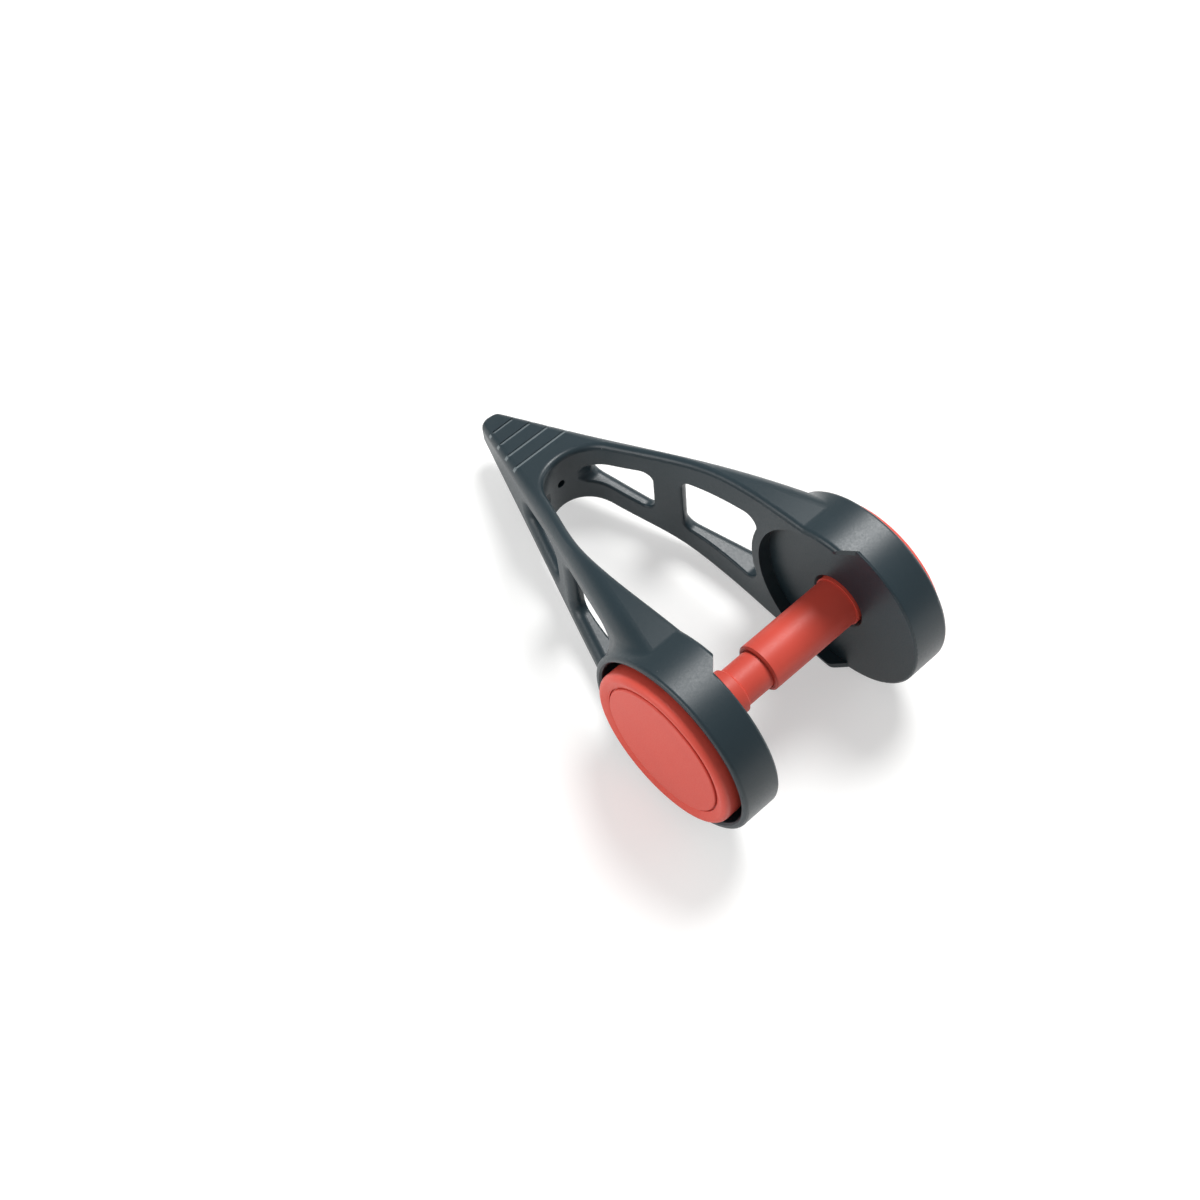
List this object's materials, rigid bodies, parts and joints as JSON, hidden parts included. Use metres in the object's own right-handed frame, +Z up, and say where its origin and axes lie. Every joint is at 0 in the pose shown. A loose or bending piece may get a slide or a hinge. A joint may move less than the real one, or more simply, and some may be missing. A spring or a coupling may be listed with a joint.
{
  "type": "thread bobbin holder",
  "caption": "V-shaped moulded thread bobbin holder with windowed arms, a two-part spindle between round housings, capped drag knobs and a ceramic thread ring at the nose.",
  "frame": {"origin": "middle of the spindle, halfway between the two housings", "axes": "+X along the spindle towards the sleeve cap, +Y from the spindle to the nose, +Z up out of the V's plane"},
  "size_m": [0.037, 0.0655, 0.0256],
  "materials": {
    "frame_plastic": "satin moulded plastic",
    "red_plastic": "satin moulded plastic",
    "guide_ceramic": "polished",
    "screw_steel": "zinc plated",
    "spring_steel": "rolled",
    "insert_brass": "turned",
    "friction_plastic": "plain"
  },
  "bodies": {
    "frame": {"frame": "frame_plastic", "guide_ring": "guide_ceramic"},
    "drag_stack": {"drag_friction_washer": "friction_plastic", "drag_spring_inner": "spring_steel", "drag_spring_outer": "spring_steel"},
    "drag_thrust": {"drag_thrust_washer": "spring_steel"},
    "drag_knob": {"drag_knob": "red_plastic", "drag_cover": "red_plastic", "drag_screw": "screw_steel"},
    "sleeve_washer": {"sleeve_friction_washer": "friction_plastic"},
    "sleeve_knob": {"sleeve_knob": "red_plastic", "sleeve_cover": "red_plastic", "sleeve_insert": "insert_brass"}
  },
  "joints": [
    {"name": "pin_pull", "type": "slide", "parent": "frame", "child": "drag_stack", "axis": [-1, 0, 0], "range_m": [0, 0.02]},
    {"name": "drag_travel", "type": "slide", "parent": "drag_stack", "child": "drag_thrust", "axis": [-1, 0, 0], "range_m": [0, 0.0028]},
    {"name": "knob_turn", "type": "hinge", "parent": "drag_thrust", "child": "drag_knob", "pos_m": [0, 0, 0], "axis": [-1, 0, 0], "range_deg": [0, 1440]},
    {"name": "sleeve_pull", "type": "slide", "parent": "frame", "child": "sleeve_washer", "axis": [1, 0, 0], "range_m": [0, 0.0142]},
    {"name": "sleeve_turn", "type": "hinge", "parent": "sleeve_washer", "child": "sleeve_knob", "pos_m": [0, 0, 0], "axis": [1, 0, 0], "continuous": true}
  ],
  "couplings": [
    {"joint": "drag_travel", "follows": "knob_turn", "m_per_rad": 0.00011141}
  ]
}
